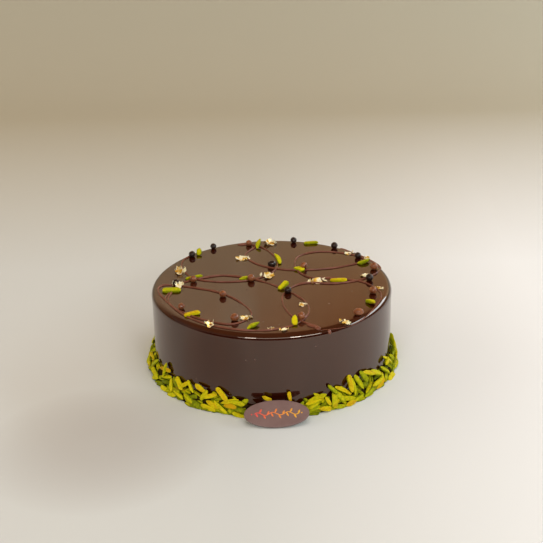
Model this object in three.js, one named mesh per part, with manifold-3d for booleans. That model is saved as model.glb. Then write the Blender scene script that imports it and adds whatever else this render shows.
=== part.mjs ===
// A whole round kunafa cake under a dark chocolate mirror glaze. Thin chocolate lines are piped in
// loops over the top, with crisp chocolate pearls, pistachio slivers and scraps of edible gold leaf.
// A heap of pistachio slivers runs round the foot of the cake, and a blank oval chocolate plaque
// leans on the heap at the front.
//
// Millimetres, +Z up. The origin is the centre of the cake's flat base, and the front faces -Y.

import * as THREE from "three";
import { mergeVertices } from "three/addons/utils/BufferGeometryUtils.js";
import Module from "manifold-3d";

const wasm = await Module();
wasm.setup();

// ---------------------------------------------------------------- driving dimensions

const CAKE_RADIUS = 100;
const CAKE_HEIGHT = 68;
const SHOULDER = 5; // radius of the glaze where the top turns over into the side
const TURN_STEPS = 72; // flats round the cake
const SHOULDER_STEPS = 4;
const GAP = 0.3; // left between neighbouring pieces

const LINE_WIDTH = 1.5; // a piped line
const LINE_HEIGHT = 1.15;
const LINE_STEP = 10;
const SINK = 0.35; // how deep a topping sits in the glaze

const SLIVER_THICK = 2.8; // in the heap
const TOP_SLIVER_THICK = 3.3; // the plumper ones picked for the top

// The heap leans on the cake's side: its surface comes in by HEAP_LEAN for each mm that it rises.
const HEAP_FOOT = 107.6; // radius of the heap where it meets the table
const HEAP_LEAN = 0.46;
const HEAP_TOP_RADIUS = 102;
const HEAP_CORE = { inset: 1.3, top: 1.3, height: 14.5 }; // packed nuts under the showing ones
const CORE_LUMPS = { foot: 0.6, height: 1.5 }; // how far the core swells and sinks on its way round
const FRONT_DIP = { depth: 6, spread: 9 }; // it is low behind the plaque, over this many degrees
const FRONT_PROP = { out: 8.5, spread: 8, top: 13, fade: 5 }; // and reaches out there to carry it

const PLAQUE = { wide: 50, high: 21.8, thick: 2, edge: 0.5, lean: 41, turn: 1.2, x: 2, y: -113.2 };

// ---------------------------------------------------------------- where the toppings lie

// The piped lines, each a smooth curve through [x, y] on the top.
const LINES = [
  // from the back left edge, round to the middle and away to the back
  [[-66, 69], [-77, 53], [-76, 32], [-64.7, 11.5], [-42, 3.4], [-16, 6.5], [1, 21], [5.6, 42],
    [0, 66], [-12.6, 84], [-28, 88]],
  // across the middle, down the narrow front loop and round the whole front left edge
  [[-64.7, 10], [-41, 17], [-12, 5.5], [12, -17], [27, -41], [28.6, -62], [17, -82.5], [-8, -91.4],
    [-40, -84], [-66, -64.5], [-85, -34], [-94, -10], [-91, -1.8], [-79, -1.6]],
  // the large front left loop
  [[-79, -1.6], [-44, -18], [-24, -41], [-16.2, -64], [-30, -79], [-56, -68.5], [-78, -46],
    [-83.8, -31], [-81.8, -14]],
  // its way back to the middle, and the short line beside it
  [[-82.4, -14], [-76, 1], [-64.7, 10]],
  [[-84, -16], [-86.4, -29], [-84.2, -37]],
  // from the thick end at the front, up the narrow loop and across to the right edge
  [[36.2, -88.6], [18, -71], [9, -45], [11, -21], [26, -3.6], [55, -4.8], [79, 4.5], [93.4, 25],
    [84.5, 49], [62, 74.5]],
  // round the front right edge, back to the middle and round the back right loop
  [[36.2, -91], [62, -78], [82, -51], [88.6, -26], [76, -3], [50, 6.3], [32, 9], [21, 31],
    [25, 57], [43, 66.6], [72, 57.5], [82, 45], [80, 39.5]],
  // from the right edge across the back and up the far loop
  [[80, 39.5], [50, 27.5], [14, 26.5], [-11, 39.5], [-22.6, 62], [-12.6, 83]],
];
// Thick ends and drops of the piped chocolate: [x, y, length, width, heading in degrees].
const DROPS = [
  [30.5, -85.5, 11, 3.2, -36],
  [34.6, -89.2, 5, 4, -40],
  [-25, 88, 10, 3.4, 5],
  [-14, 84.6, 7, 2.8, -30],
];
// Crisp pearls: [x, y, radius, stretch along x].
const PEARLS = [
  [-69.7, 60.9, 2.9, 1], [-51.6, 79.4, 2.7, 1], [-19.7, 85.7, 2.7, 1], [21, 90.4, 2.8, 1],
  [57.1, 74.7, 3, 1], [76.3, 50.4, 2.8, 1], [88.1, 24, 3.2, 1.05], [82, 0.4, 3.1, 1],
  [82.5, -26, 3.1, 1], [67.4, -66.7, 3, 1.35], [28.2, 29.2, 3.1, 1], [0.7, 34.7, 3, 1.2],
  [-16.9, 4.7, 3.1, 1], [-65.4, 5.4, 2.9, 1], [13.4, -21.7, 3, 1], [-39.7, -26.7, 2.9, 1],
  [-71.9, -48.9, 2.7, 1], [-29, -72.4, 3.2, 1.05], [22.7, -72.4, 3.2, 1], [-79.7, -1, 2.8, 1.1],
];
// One small drop of chocolate hangs on the shoulder at the front.
const SHOULDER_DROP = { angle: -64.2, down: 66, radius: 1.7 };
// Pistachio slivers on the top: [x, y, heading in degrees, length, width, lift of the far end].
const TOP_SLIVERS = [
  [-63.7, 67.2, 80, 8.5, 4.6, 4], [-10.6, 82.6, 80, 13, 4.4, 5], [5.4, 46.8, 108, 15.5, 4, 4],
  [24.1, 26.1, -48, 9, 6.4, 0], [36.7, 87.6, 8, 13, 4.4, 0], [80.7, 39.4, 35, 13, 5.2, 1.5],
  [56.3, 1.2, 0, 14.3, 4.8, 0], [78.9, -46.4, -60, 11, 5.2, 2], [9.9, -10, 55, 13.5, 4.6, 2],
  [-21.1, 9.2, 20, 12.5, 6.6, 0], [-65.4, 13, 26, 15, 5, 0], [-82.3, -13.7, 2, 15.2, 6.6, 0],
  [-62.6, -60.7, 18, 13, 4.6, 1], [-14.4, -84.6, 42, 13, 4.6, 1.5], [17.6, -78.6, 92, 10.5, 4.8, 4],
];
// Scraps of gold leaf: [x, y, spread, height].
const GOLD = [
  [-25.4, 54, 12, 3.6], [-0.4, 87.5, 11, 4.5], [-3.3, 14, 11, 3.6], [-76.9, 25.4, 10.5, 6.4],
  [-78, -2.2, 8, 5.2], [37.4, 0.4, 13, 3.4], [79.3, 8.3, 8, 2.6], [68.9, 60.4, 7.5, 2.6],
  [84, 47.6, 5, 3.4], [88.9, -16.3, 7, 2], [24.3, -46, 8, 2], [56, -78.1, 8.5, 3],
  [-0.9, -88.1, 5, 2.2], [8.9, -90.3, 8.5, 2.2], [-19.7, -69.6, 9, 3], [-48.3, -78.1, 8.5, 3.6],
];

// The heap lies in rows, each with so many slivers at this height. They turn up to this far from
// level, and rows above the foot stop short of the front by some degrees.
const HEAP_ROWS = [
  { count: 34, height: 2.2, turn: 22, stop: 0 },
  { count: 30, height: 6, turn: 40, stop: 8 },
  { count: 26, height: 10.5, turn: 60, stop: 14 },
  { count: 12, height: 15, turn: 80, stop: 20 },
];
const ROW_DEPTH = 0.6; // the rows lie this far in behind the slivers that stand out
// The slivers that stand out:
// [angle from the front in degrees, height, heading on the slope in degrees, length, width].
const STANDING_OUT = [
  [-68, 6, -11, 16, 4], [-58, 16, 87, 13, 4], [-52, 8, -55, 11, 4], [-47, 12, -34, 13, 4],
  [-46, 4, -7, 14, 4], [-43, 14, 36, 12, 3], [-36, 3, -7, 12, 5], [-34, 16, -19, 11, 4],
  [-32, 11, 68, 10, 4], [-29, 3, -5, 14, 4], [-27, 6, -13, 13, 4], [-23, 15, -39, 14, 4],
  [-19, 7, 2, 11, 4], [-16, 10, -1, 13, 4], [-7, 6, -15, 13, 4], [-3, 15, -20, 8, 3],
  [1, 6, 12, 14, 4], [7, 16, -88, 8, 3], [8, 6, -25, 12, 4], [17, 7, 21, 11, 4],
  [18, 10, 13, 16, 4], [22, 3, -15, 11, 4], [24, 8, -67, 8, 3], [27, 8, 80, 14, 5],
  [30, 9, -61, 11, 5], [32, 12, -35, 16, 3], [35, 2, 11, 12, 4], [36, 16, 85, 14, 5],
  [38, 12, 78, 14, 3], [41, 14, -70, 14, 4], [44, 17, -68, 11, 5], [48, 17, -26, 15, 4],
  [53, 6, 2, 16, 4], [54, 13, -31, 16, 5], [65, 15, 18, 9, 4],
];

// ---------------------------------------------------------------- solids and places

// A closed three.js geometry as a solid that can be joined and cut.
function solidOf(geometry) {
  const bare = new THREE.BufferGeometry().setAttribute(
    "position",
    (geometry.index ? geometry.toNonIndexed() : geometry).getAttribute("position"),
  );
  const merged = mergeVertices(bare, 1e-3);
  return new wasm.Manifold(
    new wasm.Mesh({
      numProp: 3,
      vertProperties: merged.attributes.position.array,
      triVerts: new Uint32Array(merged.index.array),
    }),
  );
}

// A solid back as a geometry with flat faces. Loose scraps are left out.
function geometryOf(solid) {
  const bodies = solid.decompose().sort((a, b) => b.volume() - a.volume());
  const { numProp, vertProperties, triVerts } = bodies[0].getMesh();
  const position = new Float32Array(triVerts.length * 3);
  triVerts.forEach((vertex, i) => {
    position.set(vertProperties.subarray(vertex * numProp, vertex * numProp + 3), i * 3);
  });
  const geometry = new THREE.BufferGeometry();
  geometry.setAttribute("position", new THREE.BufferAttribute(position, 3));
  geometry.computeVertexNormals();
  return geometry;
}

// The same draws each time, so that the heap never changes.
function seededDraws(seed) {
  let state = seed;
  return (low, high) => {
    state = (state * 1664525 + 1013904223) % 4294967296;
    return low + ((high - low) * state) / 4294967296;
  };
}

const radians = THREE.MathUtils.degToRad;

// A solid of revolution about +Z from [radius, height] points.
function turned(profile) {
  const points = profile.map(([radius, height]) => new THREE.Vector2(radius, height));
  return new THREE.LatheGeometry(points, TURN_STEPS).rotateX(Math.PI / 2);
}

// ---------------------------------------------------------------- the glazed cake

function cakeBody() {
  const profile = [[0, 0], [CAKE_RADIUS, 0]];
  for (let i = 0; i <= SHOULDER_STEPS; i++) {
    const angle = (Math.PI / 2) * (i / SHOULDER_STEPS);
    profile.push([
      CAKE_RADIUS - SHOULDER + SHOULDER * Math.cos(angle),
      CAKE_HEIGHT - SHOULDER + SHOULDER * Math.sin(angle),
    ]);
  }
  profile.push([0, CAKE_HEIGHT]);
  return solidOf(turned(profile));
}

// Height of the glazed surface at a distance from the axis.
function glazeHeight(radius) {
  const over = Math.min(SHOULDER, Math.max(0, radius - (CAKE_RADIUS - SHOULDER)));
  return CAKE_HEIGHT - SHOULDER + Math.sqrt(SHOULDER ** 2 - over ** 2);
}

function surfacePoint(x, y, lift = 0) {
  return new THREE.Vector3(x, y, glazeHeight(Math.hypot(x, y)) + lift);
}

// A piped line is a low ridge. The section's x runs down and its y across the line.
function pipedLine(points) {
  const route = new THREE.CatmullRomCurve3(
    points.map(([x, y]) => surfacePoint(x, y)),
    false,
    "centripetal",
  );
  const half = LINE_WIDTH / 2;
  const section = new THREE.Shape([
    new THREE.Vector2(SINK, -half),
    new THREE.Vector2(SINK, half),
    new THREE.Vector2(-LINE_HEIGHT, 0),
  ]);
  return solidOf(
    new THREE.ExtrudeGeometry(section, {
      steps: Math.max(2, Math.round(route.getLength() / LINE_STEP)),
      bevelEnabled: false,
      extrudePath: route,
    }),
  );
}

function drop([x, y, long, wide, heading]) {
  const blob = new THREE.SphereGeometry(0.5, 8, 6).scale(long, wide, wide * 0.9);
  blob.rotateZ(radians(heading));
  const at = surfacePoint(x, y);
  return solidOf(blob.translate(at.x, at.y, at.z));
}

function pearl([x, y, radius, stretch]) {
  const ball = new THREE.SphereGeometry(radius, 7, 4).rotateX(Math.PI / 2).scale(stretch, 1, 1);
  const at = surfacePoint(x, y, radius - SINK);
  return solidOf(ball.translate(at.x, at.y, at.z));
}

function shoulderDrop() {
  const { angle, down, radius } = SHOULDER_DROP;
  const out = CAKE_RADIUS - SHOULDER + (SHOULDER + 0.4) * Math.sin(radians(down));
  const height = CAKE_HEIGHT - SHOULDER + (SHOULDER + 0.4) * Math.cos(radians(down));
  const ball = new THREE.SphereGeometry(radius, 8, 6);
  return solidOf(
    ball.translate(out * Math.cos(radians(angle)), out * Math.sin(radians(angle)), height),
  );
}

// A pistachio sliver along x: pointed at both ends, flat below where it was cut and round above.
function sliver(sides, steps, long, wide, thick, bend) {
  const shape = new THREE.SphereGeometry(1, sides, steps).rotateZ(Math.PI / 2);
  shape.rotateX(Math.PI / sides);
  const position = shape.getAttribute("position");
  for (let i = 0; i < position.count; i++) {
    const along = position.getX(i);
    const across = position.getY(i);
    const up = Math.max(position.getZ(i), -0.45);
    position.setXYZ(
      i,
      (along * long) / 2,
      (across * wide) / 2 + bend * (1 - along * along),
      ((up + 0.45) / 1.45) * thick,
    );
  }
  return shape;
}

function topSliver([x, y, heading, long, wide, lift]) {
  const shape = sliver(5, 4, long, wide, TOP_SLIVER_THICK, 0.4);
  shape.rotateY(-Math.asin(lift / long)).rotateZ(radians(heading));
  const at = surfacePoint(x, y, lift / 2 - SINK);
  return solidOf(shape.translate(at.x, at.y, at.z));
}

// Gold leaf is thin and crumpled: tilted scraps, each with one edge in the glaze.
function goldScraps([x, y, spread, height], index) {
  const draw = seededDraws(index * 97 + 5);
  const scraps = spread > 8.2 ? [0, 1] : [0];
  return scraps.map((k) => {
    const size = spread * (k ? 0.32 : 0.42);
    const scrap = new THREE.CylinderGeometry(size, size, 0.5, 4).rotateX(Math.PI / 2);
    scrap.scale(1, 0.55, 1);
    const tilt = Math.asin(Math.min(0.95, height / (size * 1.6)));
    scrap.rotateX(k ? -tilt : tilt).rotateZ(radians(draw(-30, 30)));
    const at = surfacePoint(x + (k ? 0.3 : -0.25) * spread, y + draw(-0.8, 0.8), height * 0.3);
    return solidOf(scrap.translate(at.x, at.y, at.z));
  });
}

function cake() {
  return wasm.Manifold.union([
    cakeBody(),
    ...LINES.map(pipedLine),
    ...DROPS.map(drop),
    ...PEARLS.map(pearl),
    shoulderDrop(),
    ...TOP_SLIVERS.map(topSliver),
    ...GOLD.flatMap(goldScraps),
  ]);
}

// ---------------------------------------------------------------- the plaque

function plaqueOutline(margin) {
  const outline = new THREE.Shape();
  outline.absellipse(0, 0, PLAQUE.wide / 2 + margin, PLAQUE.high / 2 + margin, 0, Math.PI * 2);
  return outline;
}

// A flat oval in the XY plane with its face towards +Z and a small round along both edges.
function plaqueGeometry() {
  return new THREE.ExtrudeGeometry(plaqueOutline(-PLAQUE.edge), {
    depth: PLAQUE.thick - 2 * PLAQUE.edge,
    curveSegments: 20,
    bevelSize: PLAQUE.edge,
    bevelThickness: PLAQUE.edge,
    bevelSegments: 1,
  }).translate(0, 0, PLAQUE.edge - PLAQUE.thick / 2);
}

// Turns and moves a mesh laid out like the plaque to where the plaque leans, foot on the table.
function leanPlaque(mesh) {
  const lean = radians(PLAQUE.lean);
  mesh.rotation.set(lean, 0, 0);
  mesh.rotateZ(radians(PLAQUE.turn));
  const foot = (PLAQUE.high / 2) * Math.sin(lean) + (PLAQUE.thick / 2) * Math.cos(lean);
  mesh.position.set(PLAQUE.x, PLAQUE.y, foot);
  mesh.updateMatrixWorld(true);
  return mesh;
}

// The room that the plaque needs: its own outline with a gap, and all that is in front of it.
function plaqueRoom() {
  const swept = new THREE.ExtrudeGeometry(plaqueOutline(GAP), {
    depth: 30,
    curveSegments: 20,
    bevelEnabled: false,
  }).translate(0, 0, -PLAQUE.thick / 2 - GAP);
  const mesh = leanPlaque(new THREE.Mesh(swept));
  return solidOf(swept.applyMatrix4(mesh.matrixWorld));
}

// ---------------------------------------------------------------- the heap of slivers

// How much further out the heap reaches under the plaque, at a height and an angle in degrees.
function frontProp(height, angle) {
  const turn = THREE.MathUtils.euclideanModulo(angle + 180, 360) - 180;
  const under = THREE.MathUtils.clamp((FRONT_PROP.top - height) / FRONT_PROP.fade, 0, 1);
  return FRONT_PROP.out * under * Math.exp(-((turn / FRONT_PROP.spread) ** 2));
}

function slopeRadius(height, angle) {
  return Math.max(HEAP_TOP_RADIUS, HEAP_FOOT - HEAP_LEAN * height) + frontProp(height, angle);
}

// The packed core is uneven all round, and is low but deep behind the plaque.
function heapCore() {
  const inner = CAKE_RADIUS + GAP;
  const foot = HEAP_FOOT - HEAP_CORE.inset;
  const top = inner + HEAP_CORE.top;
  const core = turned([
    [inner, 0],
    [foot, 0],
    [top, HEAP_CORE.height],
    [inner, HEAP_CORE.height],
    [inner, 0],
  ]);
  const position = core.getAttribute("position");
  for (let i = 0; i < position.count; i++) {
    const [x, y, z] = [position.getX(i), position.getY(i), position.getZ(i)];
    const angle = Math.atan2(x, -y);
    const lump = Math.sin(17 * angle) + Math.sin(29 * angle + 1);
    const dip = FRONT_DIP.depth * Math.exp(-((angle / radians(FRONT_DIP.spread)) ** 2));
    const radius = Math.hypot(x, y);
    const height = z > 0 ? z + (CORE_LUMPS.height * lump) / 2 - dip : 0;
    if (radius > inner + 0.01) {
      const swell = z > 0 ? 0 : (CORE_LUMPS.foot * lump) / 2;
      const out = 1 + (swell + frontProp(height, THREE.MathUtils.radToDeg(angle))) / radius;
      position.setXY(i, x * out, y * out);
    }
    position.setZ(i, height);
  }
  return solidOf(core);
}

// One sliver on the slope, rolled and tipped a little by chance.
function heapSliver([angle, height, heading, long, wide], depth, draw) {
  const shape = sliver(4, 3, long, wide, SLIVER_THICK, draw(-0.4, 0.4));
  shape.translate(0, 0, -SLIVER_THICK * 0.5 - depth);
  shape.rotateX(draw(-0.45, 0.45)).rotateY(draw(-0.12, 0.12)).rotateZ(radians(heading));
  shape.rotateX(Math.atan2(1, HEAP_LEAN));
  shape.translate(0, -slopeRadius(height, angle), Math.max(height, 1.2));
  return solidOf(shape.rotateZ(radians(angle)));
}

function rowSlivers(draw) {
  return HEAP_ROWS.flatMap(({ count, height, turn, stop }) =>
    Array.from({ length: count }, (_, i) => [
      stop + ((360 - 2 * stop) * (i + 0.5 + draw(-0.35, 0.35))) / count,
      height + draw(-1.5, 1.5),
      draw(-turn, turn),
      draw(10, 16),
      draw(3, 5),
    ]),
  );
}

function pistachioHeap() {
  const draw = seededDraws(20);
  const rows = rowSlivers(draw);
  const slivers = [
    ...rows.map((row) => heapSliver(row, ROW_DEPTH, draw)),
    ...STANDING_OUT.map((row) => heapSliver(row, 0, draw)),
  ];
  const inside = CAKE_RADIUS + GAP;
  const cakeRoom = solidOf(turned([[0, -20], [inside, -20], [inside, 60], [0, 60]]));
  const below = solidOf(new THREE.BoxGeometry(300, 300, 20).translate(0, 0, -10));
  return wasm.Manifold.union([heapCore(), ...slivers])
    .subtract(cakeRoom)
    .subtract(below)
    .subtract(plaqueRoom());
}

// ---------------------------------------------------------------- the finished cake

function piece(name, geometry, colour, roughness) {
  const material = new THREE.MeshStandardMaterial({ color: colour, roughness, metalness: 0 });
  const mesh = new THREE.Mesh(geometry, material);
  mesh.name = name;
  return mesh;
}

const kunafaCake = new THREE.Group();
kunafaCake.add(
  piece("cake", geometryOf(cake()), 0x3f2417, 0.12),
  piece("pistachio_heap", geometryOf(pistachioHeap()), 0x93a01c, 0.7),
  leanPlaque(piece("plaque", plaqueGeometry(), 0x5c4038, 0.45)),
);

export default kunafaCake;
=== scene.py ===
# A whole round kunafa cake under a dark chocolate mirror glaze, with piped chocolate loops, crisp
# pearls, pistachio slivers and gold leaf on the top. A heap of pistachio slivers runs round its
# foot, and an oval chocolate plaque leans back at the front.
# Sizes are in millimetres until a piece is made. The cake stands on z = 0 and its front faces -Y.

import math

import bmesh
import bpy
from mathutils import Matrix, Vector, noise


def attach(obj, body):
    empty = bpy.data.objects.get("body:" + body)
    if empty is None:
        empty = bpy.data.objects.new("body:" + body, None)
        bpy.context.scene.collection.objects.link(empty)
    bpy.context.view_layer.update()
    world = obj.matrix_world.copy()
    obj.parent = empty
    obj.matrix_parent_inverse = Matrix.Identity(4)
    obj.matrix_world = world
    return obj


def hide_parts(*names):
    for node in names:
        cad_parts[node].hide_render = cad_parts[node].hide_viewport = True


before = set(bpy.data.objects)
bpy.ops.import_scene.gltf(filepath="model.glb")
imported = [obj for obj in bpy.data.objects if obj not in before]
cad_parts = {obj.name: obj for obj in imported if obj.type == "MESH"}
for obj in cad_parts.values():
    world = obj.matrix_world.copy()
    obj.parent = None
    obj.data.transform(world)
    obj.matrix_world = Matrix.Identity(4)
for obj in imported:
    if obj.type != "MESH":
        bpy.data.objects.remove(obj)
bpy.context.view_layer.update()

# ---------------------------------------------------------------- the photographer's view
# A long lens looks down on the cake from about a metre away, a hair off level. The numbers come
# from the cake's outline in the picture, which is square.

PICTURE = 543  # pixels along a side
FOCAL = 1100  # pixels
TO_CAKE = 0.946  # metres to the centre of the cake's base, along the view
BASE_AT = (272.9, 355.1)  # where that centre falls in the picture
LOOKING_DOWN = math.radians(22.9)
OFF_LEVEL = math.radians(-1.2)
SENSOR = 36  # millimetres wide

towards_camera = Vector((0, -math.cos(LOOKING_DOWN), math.sin(LOOKING_DOWN)))
level_right = Vector((1, 0, 0))
level_up = level_right.cross(-towards_camera)
camera_right = math.cos(OFF_LEVEL) * level_right + math.sin(OFF_LEVEL) * level_up
camera_up = math.cos(OFF_LEVEL) * level_up - math.sin(OFF_LEVEL) * level_right
across = (BASE_AT[0] - PICTURE / 2) / FOCAL * TO_CAKE
down = (BASE_AT[1] - PICTURE / 2) / FOCAL * TO_CAKE
camera = bpy.data.objects.new("camera", bpy.data.cameras.new("camera"))
camera.data.sensor_width = SENSOR
camera.data.lens = FOCAL / PICTURE * SENSOR
camera.matrix_world = Matrix.Translation(
    towards_camera * TO_CAKE - camera_right * across + camera_up * down
) @ Matrix((camera_right, camera_up, towards_camera)).transposed().to_4x4()
bpy.context.scene.collection.objects.link(camera)
bpy.context.scene.camera = camera

# ---------------------------------------------------------------- the glazed cake
# A tall round of cake poured over with dark mirror glaze while cold: it levels itself on the top,
# turns over the shoulder in one smooth round and sheets down the side, with a few pinholes.

CAKE_RADIUS = 100
CAKE_HEIGHT = 68
SHOULDER = 5
CAKE_FLATS = 288
FOOT_EDGE = [(1.1, 0), (0.4, 0.3), (0, 1.2)]  # [how far in, height], where the glaze curls under
SIDE_FOOT = 3  # the side is straight from this height to the shoulder
SIDE_ROWS, SHOULDER_ROWS, TOP_ROWS = 12, 16, 20
TOP_HUB = 2  # radius of the flat at the very middle of the top
UNEVEN = 0.09  # how far the set glaze stands in or out
GLAZE_COLOUR = (0.024, 0.0024, 0.0005, 1)
GLAZE_PAINTED_STREAK = (0.036, 0.006, 0.0015, 1)
GLAZE_SHEEN = (1.0, 0.87, 0.765, 1)  # the dark glaze mirrors warm light best
DOWN_THE_SIDE = (1.0, 1.0, 0.16)  # its faint streaks are drawn out this way
PINHOLES_PER_METRE = 150.0
PINHOLE_RIM = (0.03, 0.13)  # from its flat middle to its edge, in shares of their spacing
PINHOLE_COLOUR = (0.16, 0.1, 0.08, 1)


class Wire:
    """A socket in a finish's nodes: sums on it add Math nodes, so a pattern reads as a formula."""

    def __init__(self, tree, socket=None):
        self.tree = tree
        self.socket = socket

    def node(self, kind, settings, sockets, out=0):
        """Adds a node with its settings, then the values or wires of its sockets."""
        added = self.tree.nodes.new(kind)
        for name, value in settings.items():
            if name == "stops":
                while len(added.color_ramp.elements) < len(value):
                    added.color_ramp.elements.new(0.5)
                for stop, (at, colour) in zip(added.color_ramp.elements, value):
                    stop.position = at
                    stop.color = colour
            else:
                setattr(added, name, value)
        for name, value in sockets.items():
            if isinstance(value, Wire):
                self.tree.links.new(value.socket, added.inputs[name])
            else:
                added.inputs[name].default_value = value
        return Wire(self.tree, added.outputs[out])

    def sum(self, operation, first, second):
        return self.node("ShaderNodeMath", {"operation": operation}, {0: first, 1: second})

    def __add__(self, other):
        return self.sum("ADD", self, other)

    def __radd__(self, other):
        return self.sum("ADD", other, self)

    def __sub__(self, other):
        return self.sum("SUBTRACT", self, other)

    def __rsub__(self, other):
        return self.sum("SUBTRACT", other, self)

    def __mul__(self, other):
        return self.sum("MULTIPLY", self, other)

    def __rmul__(self, other):
        return self.sum("MULTIPLY", other, self)

    def __gt__(self, other):
        return self.sum("GREATER_THAN", self, other)

    def place(self):
        """Where on the cake a point lies, in metres."""
        return self.node("ShaderNodeTexCoord", {}, {}, "Object")

    def cloud(self, per_metre, detail=3.0, rough=0.5, at=None):
        """Soft noise from 0 to 1, this many lumps to the metre."""
        return self.node(
            "ShaderNodeTexNoise",
            {},
            {
                "Vector": at or self.place(),
                "Scale": per_metre,
                "Detail": detail,
                "Roughness": rough,
            },
        )

    def blend(self, share, under, over):
        """The colour under, with this share of the colour over it."""
        return self.node(
            "ShaderNodeMix", {"data_type": "RGBA"}, {0: share, 6: under, 7: over}, 2
        )

    def relief(self, height, depth):
        """The bump of a height from 0 to 1 that is this deep, in metres."""
        return self.node(
            "ShaderNodeBump", {}, {"Height": height, "Distance": depth, "Strength": 1.0}
        )

    def clamp(self, low, high):
        """This wire stretched so that low to high runs from 0 to 1, and cut off there."""
        return self.node(
            "ShaderNodeMapRange", {"clamp": True}, {0: self, 1: low, 2: high, 3: 0.0, 4: 1.0}
        )


def new_finish(name, **values):
    """A finish with these values all over. Returns it, a wire to draw on and its shader."""
    finish = bpy.data.materials.new(name)
    finish.use_nodes = True
    shader = finish.node_tree.nodes["Principled BSDF"]
    for socket, value in values.items():
        shader.inputs[socket.replace("_", " ")].default_value = value
    return finish, Wire(finish.node_tree), shader


def vary(shader, socket, wire):
    """Lets a value of the finish follow a wire instead of being the same all over."""
    wire.tree.links.new(wire.socket, shader.inputs[socket])


def skin(rings, points, faces):
    """Adds a closed skin over rings of as many points each, from one end to the other."""
    first = len(points)
    count = len(rings[0])
    for ring in rings:
        points.extend(ring)
    for row in range(len(rings) - 1):
        for k in range(count):
            a = first + row * count + k
            b = first + row * count + (k + 1) % count
            faces.append((a, b, b + count, a + count))
    last = first + (len(rings) - 1) * count
    faces.append(tuple(first + k for k in reversed(range(count))))
    faces.append(tuple(last + k for k in range(count)))


def add_piece(name, points, faces, finish, node, crease=50):
    """A closed piece of the cake that stands for the node's solid."""
    mesh = bpy.data.meshes.new(name)
    mesh.from_pydata([Vector(point) / 1000 for point in points], [], faces)
    build = bmesh.new()
    build.from_mesh(mesh)
    bmesh.ops.recalc_face_normals(build, faces=build.faces)
    build.to_mesh(mesh)
    build.free()
    for face in mesh.polygons:
        face.use_smooth = True
    mesh.set_sharp_from_angle(angle=math.radians(crease))
    mesh.materials.append(finish)
    piece = bpy.data.objects.new(name, mesh)
    bpy.context.scene.collection.objects.link(piece)
    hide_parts(node)
    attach(piece, "root")
    return piece


def glaze_height(radius):
    """Height of the glaze's surface at this distance from the middle."""
    over = min(SHOULDER, max(0, radius - (CAKE_RADIUS - SHOULDER)))
    return CAKE_HEIGHT - SHOULDER + math.sqrt(SHOULDER**2 - over**2)


def glaze_sway(x, y, z):
    """The glaze sets a little unevenly: how far it stands in or out here."""
    return UNEVEN * noise.noise(Vector((x, y, z * 0.6)) / 38)


profile = [(CAKE_RADIUS - inset, height) for inset, height in FOOT_EDGE]
straight = CAKE_HEIGHT - SHOULDER - SIDE_FOOT
profile += [
    (CAKE_RADIUS, SIDE_FOOT + straight * step / SIDE_ROWS) for step in range(SIDE_ROWS + 1)
]
for step in range(1, SHOULDER_ROWS + 1):
    turn = math.pi / 2 * step / SHOULDER_ROWS
    profile.append(
        (
            CAKE_RADIUS - SHOULDER + SHOULDER * math.cos(turn),
            CAKE_HEIGHT - SHOULDER + SHOULDER * math.sin(turn),
        )
    )
for step in range(1, TOP_ROWS + 1):
    inwards = step / TOP_ROWS
    profile.append(
        ((CAKE_RADIUS - SHOULDER) * (1 - inwards) + TOP_HUB * inwards, CAKE_HEIGHT)
    )
rings = []
for radius, height in profile:
    ring = []
    for k in range(CAKE_FLATS):
        turn = 2 * math.pi * k / CAKE_FLATS
        x, y = radius * math.cos(turn), radius * math.sin(turn)
        sway = glaze_sway(x, y, height) if height > 1 else 0
        if height < CAKE_HEIGHT - SHOULDER:
            out = 1 + (sway - UNEVEN) / radius
            ring.append((x * out, y * out, height))
        else:
            ring.append((x, y, height + sway * 0.6))
    rings.append(ring)
points, faces = [], []
skin(rings, points, faces)

glaze, draw_on, shader = new_finish("mirror_glaze", IOR=1.78, Specular_Tint=GLAZE_SHEEN)
where = draw_on.node(
    "ShaderNodeVectorMath", {"operation": "MULTIPLY"}, {0: draw_on.place(), 1: DOWN_THE_SIDE}
)
streaks_and_painted_reflection = draw_on.cloud(45, 1, 0.5, where).clamp(0.3, 0.75)
vary(shader, "Roughness", 0.02 + 0.02 * streaks_and_painted_reflection)
spots = {"Vector": draw_on.place(), "Scale": PINHOLES_PER_METRE}
from_spot = draw_on.node("ShaderNodeTexVoronoi", {"feature": "F1"}, spots, "Distance")
spot_mark = draw_on.node("ShaderNodeTexVoronoi", {"feature": "F1"}, spots, "Color")
one_in_five = draw_on.node("ShaderNodeSeparateColor", {}, {0: spot_mark}, 0) > 0.8
pinholes = (1 - from_spot.clamp(*PINHOLE_RIM)) * one_in_five
# Painted reflection: the paler streaks down the side stand for a streaked table mirrored in the
# glaze. On the top the same pattern makes soft paler patches.
body = draw_on.blend(streaks_and_painted_reflection, GLAZE_COLOUR, GLAZE_PAINTED_STREAK)
vary(shader, "Base Color", draw_on.blend(pinholes, body, PINHOLE_COLOUR))
vary(shader, "Normal", draw_on.relief(0.1 * draw_on.cloud(11, 2) - pinholes * 0.4, 0.0004))
add_piece("glazed_cake", points, faces, glaze, "cake", crease=60)

# ---------------------------------------------------------------- the piped lines
# Melted milk chocolate trailed from a paper cone in open loops. It sets as a thin round bead,
# thicker where the hand slowed, with fat ends at the front and at the back.

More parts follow.
